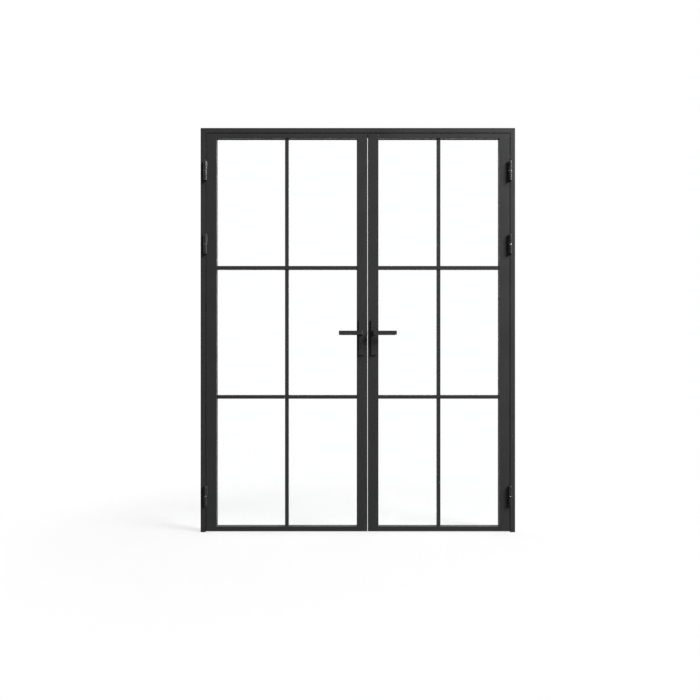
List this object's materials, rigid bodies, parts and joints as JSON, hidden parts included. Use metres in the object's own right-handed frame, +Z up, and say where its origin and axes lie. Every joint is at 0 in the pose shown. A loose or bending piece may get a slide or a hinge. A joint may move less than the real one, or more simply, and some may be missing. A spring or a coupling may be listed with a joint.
{
  "type": "french doors",
  "caption": "Unequal pair of glazed french doors with slim bars in a three-sided steel frame, with lift-off hinges, levers, latch, dead bolt and top bolt.",
  "frame": {"origin": "on the floor, midway between the jambs, on the middle plane of the closed leaves", "axes": "+X right as seen from the hinge side, +Y away from the hinge side, +Z up; the leaves open towards -Y"},
  "size_m": [1.609, 0.153, 2.068],
  "materials": {
    "frame_paint": "fine matt black powder coat",
    "leaf_paint": "fine matt black powder coat",
    "hinge_black": "satin black coat",
    "handle_black": "satin black coat",
    "screw_black": "black oxide",
    "clear_glass": "clear float glass",
    "seal_rubber": "matt",
    "cap_nylon": "fine grain",
    "bolt_steel": "brushed",
    "zinc_steel": "bright zinc plate"
  },
  "bodies": {
    "frame": {"left_jamb": "frame_paint", "right_jamb": "frame_paint", "frame_head": "frame_paint", "frame_corner_blocks": "zinc_steel", "frame_seals": "seal_rubber", "head_keep": "bolt_steel", "hinge_frame_knuckles": "hinge_black", "hinge_washers": "bolt_steel"},
    "active_leaf": {"active_hinge_stile": "leaf_paint", "active_lock_stile": "leaf_paint", "active_top_rail": "leaf_paint", "active_bottom_rail": "leaf_paint", "active_corner_blocks": "zinc_steel", "active_end_caps": "cap_nylon", "active_glass": "clear_glass", "active_glazing_rubbers": "seal_rubber", "active_beads": "leaf_paint", "active_cross_bars": "leaf_paint", "active_upright_bars": "leaf_paint", "active_hinge_knuckles": "hinge_black", "active_front_plate": "handle_black", "active_back_plate": "handle_black", "active_plate_screws": "screw_black", "lock_case": "zinc_steel", "lock_forend": "bolt_steel", "forend_screws": "bolt_steel", "lock_cylinder": "screw_black"},
    "active_lever": {"active_front_lever": "handle_black", "active_back_lever": "handle_black", "active_spindle": "zinc_steel", "active_follower": "zinc_steel"},
    "latch": {"latch_bolt": "bolt_steel"},
    "dead_bolt": {"dead_bolt": "bolt_steel"},
    "thumb_turn": {"thumb_turn": "handle_black", "cylinder_cam": "zinc_steel", "cylinder_plug": "screw_black"},
    "passive_leaf": {"passive_hinge_stile": "leaf_paint", "passive_lock_stile": "leaf_paint", "passive_top_rail": "leaf_paint", "passive_bottom_rail": "leaf_paint", "passive_corner_blocks": "zinc_steel", "passive_end_caps": "cap_nylon", "passive_glass": "clear_glass", "passive_glazing_rubbers": "seal_rubber", "passive_beads": "leaf_paint", "passive_cross_bars": "leaf_paint", "passive_upright_bars": "leaf_paint", "passive_hinge_knuckles": "hinge_black", "passive_front_plate": "handle_black", "passive_back_plate": "handle_black", "passive_plate_screws": "screw_black", "gear_case": "zinc_steel", "strike_plate": "bolt_steel", "strike_screws": "bolt_steel"},
    "passive_lever": {"passive_front_lever": "handle_black", "passive_back_lever": "handle_black", "passive_spindle": "zinc_steel", "passive_follower": "zinc_steel"},
    "top_bolt": {"top_rod": "bolt_steel"}
  },
  "joints": [
    {"name": "active_leaf_swing", "type": "hinge", "parent": "frame", "child": "active_leaf", "pos_m": [-0.778, -0.0295, 1], "axis": [0, 0, -1], "range_deg": [0, 170]},
    {"name": "passive_leaf_swing", "type": "hinge", "parent": "frame", "child": "passive_leaf", "pos_m": [0.778, -0.0295, 1], "axis": [0, 0, 1], "range_deg": [0, 170]},
    {"name": "active_lever_turn", "type": "hinge", "parent": "active_leaf", "child": "active_lever", "pos_m": [0.0185, 0, 1.02], "axis": [0, -1, 0], "range_deg": [0, 40], "stiffness_Nm_per_rad": 1.2, "springref_deg": -57.3},
    {"name": "latch_slide", "type": "slide", "parent": "active_leaf", "child": "latch", "axis": [-1, 0, 0], "range_m": [0, 0.0055]},
    {"name": "thumb_turn_turn", "type": "hinge", "parent": "active_leaf", "child": "thumb_turn", "pos_m": [0.0185, 0, 0.972], "axis": [0, 1, 0], "range_deg": [0, 90]},
    {"name": "dead_bolt_slide", "type": "slide", "parent": "active_leaf", "child": "dead_bolt", "axis": [1, 0, 0], "range_m": [0, 0.0099]},
    {"name": "passive_lever_turn", "type": "hinge", "parent": "passive_leaf", "child": "passive_lever", "pos_m": [0.0815, 0, 1.02], "axis": [0, 1, 0], "range_deg": [0, 90]},
    {"name": "top_bolt_slide", "type": "slide", "parent": "passive_leaf", "child": "top_bolt", "axis": [0, 0, 1], "range_m": [0, 0.0099]}
  ],
  "couplings": [
    {"joint": "latch_slide", "follows": "active_lever_turn", "m_per_rad": 0.0078385},
    {"joint": "thumb_turn_turn", "follows": "dead_bolt_slide", "rad_per_m": 158.66},
    {"joint": "top_bolt_slide", "follows": "passive_lever_turn", "m_per_rad": 0.0063022}
  ]
}
